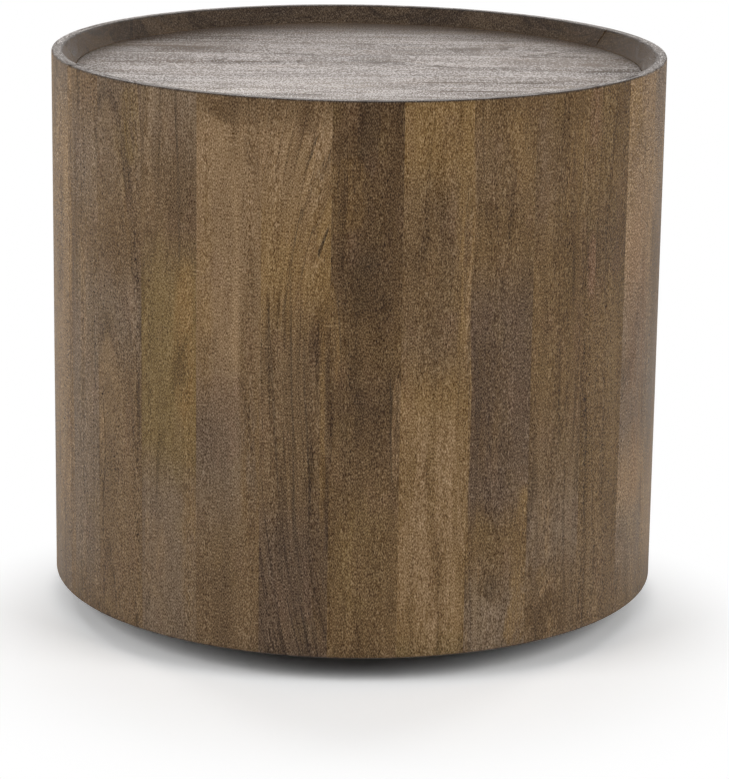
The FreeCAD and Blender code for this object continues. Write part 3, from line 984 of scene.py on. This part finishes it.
def plank_spans():
    """Front and back side of each plank. A tongue reaches on under the next plank."""
    fronts = [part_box(name)[0].y for name in PLANK_NAMES]
    backs = fronts[1:] + [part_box(PLANK_NAMES[-1])[1].y]
    return list(zip(fronts, backs))


def plank_edge(place, ease, half_tongue, depth, plain):
    """Profile points of a plank's edge from below, across and up."""
    if plain:
        return [(place, TRAY_LEDGE), (place, TRAY_FLOOR)]
    middle = (TRAY_LEDGE + TRAY_FLOOR) / 2
    inward = -math.copysign(ease, depth)
    return [
        (place, TRAY_LEDGE),
        (place, middle - half_tongue),
        (place + abs(depth), middle - half_tongue),
        (place + abs(depth), middle + half_tongue),
        (place, middle + half_tongue),
        (place, TRAY_FLOOR - ease),
        (place + inward, TRAY_FLOOR),
    ]


def plank_bar(sizes, low, high, first, last):
    """A bar with a plank's profile that runs right across the tray."""
    half_tongue = sizes.plank_tongue / 2
    gap = sizes.glue_gap
    front = plank_edge(
        low - SPARE if first else low,
        sizes.joint_ease,
        half_tongue + gap,
        -(sizes.plank_tongue + gap),
        first,
    )
    back = plank_edge(
        high + SPARE if last else high, sizes.joint_ease, half_tongue, sizes.plank_tongue, last
    )
    profile = list(reversed(front)) + back
    ends = (-TRAY_RADIUS - SPARE, TRAY_RADIUS + SPARE)
    return loft([[Vector((x, y, z)) for y, z in profile] for x in ends])


def tray_disc(sizes):
    """The turned outline that all planks are cut to, with a rounded upper edge."""
    edge = sizes.tray_edge_round
    rows = [(TRAY_RADIUS, TRAY_LEDGE)]
    rows += [(TRAY_RADIUS - edge * (1 - across), TRAY_FLOOR - edge * up)
             for across, up in reversed(quarter(TRAY_EDGE_STEPS))]
    turns = [math.tau * step / TRAY_STEPS for step in range(TRAY_STEPS)]
    return loft([[plan_point(across, angle, up) for angle in turns] for across, up in rows])


def cut_to_disc(mesh, disc):
    """The part of a mesh that lies inside the disc."""
    bar = placed("bar", mesh)
    cut = bar.modifiers.new("disc", "BOOLEAN")
    cut.operation = "INTERSECT"
    cut.solver = "EXACT"
    cut.object = disc
    ready = bar.evaluated_get(bpy.context.evaluated_depsgraph_get())
    shaped = bpy.data.meshes.new_from_object(ready)
    bpy.data.objects.remove(bar)
    return shaped


# Finishes of the pieces that keep their frame shape

def dress(names, material):
    """Gives nodes of the frame their finish."""
    for node in (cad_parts[name] for name in names):
        if not node.material_slots:
            node.data.materials.append(material)
        for material_slot in node.material_slots:
            material_slot.material = material


def patterned(name, *patterns):
    """A new material's graph and its noises, each with a stretch over the millimetres."""
    graph = Graph(bpy.data.materials.new(name))
    point = graph.node("ShaderNodeTexCoord", None, None, "Object") / MM
    return (graph, *(graph.noise(point * stretch, *others) for stretch, *others in patterns))


def batten_wood(stains):
    """Plain hardwood of the hidden battens, with its grain from front to back."""
    streaks, fibres = ((0.35, 0.012, 0.35), 3.0), ((1.4, 0.08, 1.4), 2.0)
    graph, streak, fibre = patterned("batten_wood", streaks, fibres)
    colour = graph.mix(streak, tuple(stains.walnut), tuple(stains.tan)) * (0.7 + fibre * 0.6)
    return graph.surface(colour, 0.5 + streak * 0.2, {"Distance": 0.1 * MM, "Height": fibre})


def panel_board(stains):
    """Stained wood-based board with short chips, for the base panel."""
    graph, chips, dust = patterned("base_board", ((0.5, 0.16, 0.5), 4.0, 0.65), (1 / 0.8, 2.0))
    colour = graph.shades(chips, stains.panel, 0.7, 1.5) * (0.85 + dust * 0.3)
    return graph.surface(colour, 0.62 + dust * 0.16, {"Distance": 0.1 * MM, "Height": chips})


def plinth_paint(stains):
    """Brushed-on black paint with faint grain under it."""
    graph, brush, dust = patterned("plinth_paint", ((0.06, 0.06, 1.6), 3.0), (1 / 1.4, 2.0))
    colour = graph.shades(dust, stains.paint, 0.8, 1.4)
    return graph.surface(colour, 0.5 + brush * 0.2, {"Distance": 0.08 * MM, "Height": brush})


def screw_steel(stains):
    """Zinc-plated steel with fine turning marks."""
    graph, turning, bloom = patterned("screw_steel", ((0.8, 0.8, 6), 2.0), (1 / 2.5, 3.0))
    colour = graph.shades(bloom, stains.steel, 0.75, 1)
    return graph.surface(colour, 0.28 + turning * 0.22, others={"Metallic": 1.0})


def glide_nylon(stains):
    """Moulded nylon with a fine matt grain."""
    graph, grain, wear = patterned("glide_plastic", (1 / 0.35, 2.0), (1 / 4, 3.0))
    colour = graph.shades(wear, stains.glide, 0.8, 1.3)
    return graph.surface(colour, 0.5 + wear * 0.2, {"Distance": 0.05 * MM, "Height": grain})


# Studio

SENSOR_HEIGHT = 36
# Where the mirrored white behind the table ends, as parts of a direction back and up
GLEAM_SIDES = (0.3, 0.7)
GLEAM_TOP = (0.22, 0.52)
# Where the floor under the drum stops being matt, as shares of the drum's radius
MATT_FLOOR = (0.94, 1.05)
# What the settings say of each kind of lamp
LAMP_PARTS = ("rise", "distance", "size", "power")


def camera_matrix(studio):
    """Where the camera stands and how it is turned."""
    pitch, turn, roll = studio.camera_pitch, studio.camera_turn, studio.camera_roll
    ahead = Vector((
        math.sin(turn) * math.cos(pitch),
        math.cos(turn) * math.cos(pitch),
        -math.sin(pitch),
    ))
    level = Vector((math.cos(turn), -math.sin(turn), 0))
    upright = level.cross(ahead)
    right = math.cos(roll) * level + math.sin(roll) * upright
    up = -math.sin(roll) * level + math.cos(roll) * upright
    turned = Matrix((right, up, -ahead)).transposed().to_4x4()
    turned.translation = (0, -studio.camera_distance, studio.camera_height)
    return turned


def place_camera(studio):
    """The camera at the photograph's angle."""
    lens = bpy.data.cameras.new("camera")
    lens.sensor_fit = "VERTICAL"
    lens.sensor_height = SENSOR_HEIGHT
    lens.lens = studio.focal_length
    camera = placed("camera", lens)
    camera.matrix_world = camera_matrix(studio)
    bpy.context.scene.camera = camera


def ray_kinds(graph):
    """One where a ray comes straight from the camera, is mirrored, or has gone through glass."""
    outputs = graph.node("ShaderNodeLightPath").socket.node.outputs
    names = ("Is Camera Ray", "Is Glossy Ray", "Is Transmission Ray")
    camera, glossy, through = (Wire(graph, outputs[name]) for name in names)
    return graph.maths("MAXIMUM", camera, through), glossy


def hang_lamp(name, swing, rise, distance, size, power):
    """A square soft lamp, swung round, that the lacquer doesn't mirror."""
    lamp = bpy.data.lights.new(name, "AREA")
    lamp.shape = "SQUARE"
    lamp.size = size
    lamp.energy = power
    fitting = placed(name, lamp)
    fitting.visible_glossy = False
    away = plan_point(math.cos(rise), swing, math.sin(rise))
    fitting.location = Vector((0, 0, (DRUM_FOOT + DRUM_TOP) / 2)) + away * distance
    fitting.rotation_euler = away.to_track_quat("Z", "Y").to_euler()


def light_studio(studio):
    """A white world, a large soft lamp in front and to each side, and two small ones behind."""
    world = bpy.data.worlds.new("studio")
    bpy.context.scene.world = world
    graph = Graph(world)
    seen, glossy = ray_kinds(graph)
    direction = graph.node("ShaderNodeTexCoord", None, None, "Generated")
    behind = graph.rise(direction.dot(Vector((0, 1, 0))), *GLEAM_SIDES)
    low = 1 - graph.rise(direction.dot(Vector((0, 0, 1))), *GLEAM_TOP)
    mirrored = studio.side_gleam + behind * low * (studio.back_gleam - studio.side_gleam)
    strength = studio.sky_light + seen * (1 - studio.sky_light)
    strength = strength + glossy * (mirrored - strength)
    white = graph.mix(glossy, (1, 1, 1), tuple(studio.gleam_tint))
    sky = graph.node("ShaderNodeBackground", None, {"Color": white, "Strength": strength})
    graph.node("ShaderNodeOutputWorld", None, {"Surface": sky})
    sides = {"_right": 1, "_left": -1}
    for kind, ways in (("front", {"": 0}), ("side", sides), ("back", sides)):
        parts = [getattr(studio, f"{kind}_{part}") for part in LAMP_PARTS]
        for side, way in ways.items():
            hang_lamp(f"{kind}_lamp{side}", way * getattr(studio, f"{kind}_swing", 0), *parts)


def lay_floor(studio):
    """A pale floor that keeps the table's shadow and turns white further out."""
    shape = bmesh.new()
    bmesh.ops.create_grid(shape, x_segments=1, y_segments=1, size=studio.floor_size / 2)
    mesh = bpy.data.meshes.new("studio_floor")
    shape.to_mesh(mesh)
    shape.free()
    graph = Graph(bpy.data.materials.new("studio_floor"))
    point = graph.node("ShaderNodeTexCoord", None, None, "Object")
    shadow_middle = (0, -studio.shadow_shift, 0)
    distance = graph.vector_maths("DISTANCE", point, shadow_middle, "Value")
    far = graph.rise(distance, studio.shadow_start, studio.shadow_reach)
    from_axis = graph.vector_maths("LENGTH", point, (0, 0, 0), "Value")
    far = far * graph.rise(from_axis, *(DRUM_RADIUS * share for share in MATT_FLOOR))
    seen, glossy = ray_kinds(graph)
    tone = studio.floor_tone + seen * (studio.floor_seen - studio.floor_tone)
    tone = tone + glossy * (studio.floor_gleam - studio.floor_tone)
    matt = graph.node("ShaderNodeBsdfDiffuse", None, {"Color": tone})
    white = graph.node("ShaderNodeEmission", None, {"Color": (1, 1, 1, 1), "Strength": 1.0})
    mixed = graph.node("ShaderNodeMixShader", None, {0: far * seen, 1: matt, 2: white})
    graph.node("ShaderNodeOutputMaterial", None, {"Surface": mixed})
    mesh.materials.append(graph.owner)
    placed("studio_floor", mesh)


# Operators

# The stave whose rim stands out inside, and the seed of the back boards' order
PROUD_STAVE = "stave_11"
BACK_SEED = 5


class TABLE_OT_staves(bpy.types.Operator):
    """Make the drum's staves with rounded rim and foot, each in its own board of stained wood"""

    bl_idname = "table.staves"
    bl_label = "Staves"

    def execute(self, context):
        sizes = context.scene.board_sizes
        stains = context.scene.stain_colours
        order = list(range(len(BACK_BOARDS)))
        random.Random(BACK_SEED).shuffle(order)
        for place, name in enumerate(STAVE_NAMES):
            proud = sizes.proud_step if name == PROUD_STAVE else 0
            mesh = loft(stave_levels(sizes, stave_bearing(name), proud))
            wave_outside(mesh, sizes.sanding_wave)
            board = stave_look(name, order)
            at = stave_place(name)
            grain = wall_grain(stains, board.pores)
            wood = board_wood(f"{name}_wood", at, board, place + 1, stains, grain)
            new_piece(f"drum_{name}", mesh, wood, name)
        return {"FINISHED"}


class TABLE_OT_tray(bpy.types.Operator):
    """Make the tray's planks, cut to a disc, each in its own board of stained wood"""

    bl_idname = "table.tray"
    bl_label = "Tray planks"

    def execute(self, context):
        sizes = context.scene.board_sizes
        stains = context.scene.stain_colours
        disc = placed("disc", tray_disc(sizes))
        spans = plank_spans()
        for place, (name, (low, high)) in enumerate(zip(PLANK_NAMES, spans)):
            bar = plank_bar(sizes, low, high, place == 0, place == len(spans) - 1)
            mesh = cut_to_disc(bar, disc)
            board = TRAY_BOARDS[place % len(TRAY_BOARDS)]
            seed = len(STAVE_NAMES) + place + 1
            at = plank_place(low, high)
            grain = tray_grain(stains, board.coat)
            wood = board_wood(f"{name}_wood", at, board, seed, stains, grain)
            new_piece(f"top_{name}", mesh, wood, name)
        bpy.data.objects.remove(disc)
        return {"FINISHED"}


class TABLE_OT_hidden_wood(bpy.types.Operator):
    """Finish the battens under the tray and the base panel"""

    bl_idname = "table.hidden_wood"
    bl_label = "Battens and base panel"

    def execute(self, context):
        stains = context.scene.stain_colours
        dress(BATTEN_NAMES, batten_wood(stains))
        dress(["base_panel"], panel_board(stains))
        return {"FINISHED"}


class TABLE_OT_plinth(bpy.types.Operator):
    """Paint the set-back plinth"""

    bl_idname = "table.plinth"
    bl_label = "Plinth"

    def execute(self, context):
        dress(PLINTH_NAMES, plinth_paint(context.scene.stain_colours))
        return {"FINISHED"}


class TABLE_OT_hardware(bpy.types.Operator):
    """Finish the screws and the glides"""

    bl_idname = "table.hardware"
    bl_label = "Screws and glides"

    def execute(self, context):
        stains = context.scene.stain_colours
        dress(SCREW_NAMES, screw_steel(stains))
        dress(["glides"], glide_nylon(stains))
        return {"FINISHED"}


class TABLE_OT_studio(bpy.types.Operator):
    """Set up the pale floor, the soft light and the camera"""

    bl_idname = "table.studio"
    bl_label = "Studio"

    def execute(self, context):
        studio = context.scene.studio_settings
        context.scene.view_settings.view_transform = "Standard"
        lay_floor(studio)
        light_studio(studio)
        place_camera(studio)
        return {"FINISHED"}


OPERATORS = (
    TABLE_OT_staves,
    TABLE_OT_tray,
    TABLE_OT_hidden_wood,
    TABLE_OT_plinth,
    TABLE_OT_hardware,
    TABLE_OT_studio,
)


class TABLE_PT_maker(bpy.types.Panel):
    """The steps that make the table, and the sizes and colours they use"""

    bl_idname = "TABLE_PT_maker"
    bl_label = "Drum Side Table"
    bl_space_type = "VIEW_3D"
    bl_region_type = "UI"
    bl_category = "Drum Table"

    def draw(self, context):
        column = self.layout.column()
        for operator in OPERATORS:
            column.operator(operator.bl_idname)
        for group_name in GROUPS:
            group = getattr(context.scene, group_name)
            box = self.layout.box()
            for name in group.bl_rna.properties.keys():
                if name not in ("rna_type", "name"):
                    box.prop(group, name)


GROUPS = {
    "board_sizes": BoardSizes,
    "stain_colours": StainColours,
    "studio_settings": StudioSettings,
}
CLASSES = (*GROUPS.values(), *OPERATORS, TABLE_PT_maker)


def register():
    for cls in CLASSES:
        bpy.utils.register_class(cls)
    for name, group in GROUPS.items():
        setattr(bpy.types.Scene, name, PointerProperty(type=group))


def unregister():
    for name in GROUPS:
        delattr(bpy.types.Scene, name)
    for cls in reversed(CLASSES):
        bpy.utils.unregister_class(cls)


def main():
    """Makes the whole table."""
    register()
    bpy.ops.table.staves()
    bpy.ops.table.tray()
    bpy.ops.table.hidden_wood()
    bpy.ops.table.plinth()
    bpy.ops.table.hardware()
    bpy.ops.table.studio()


if __name__ == "__main__":
    main()
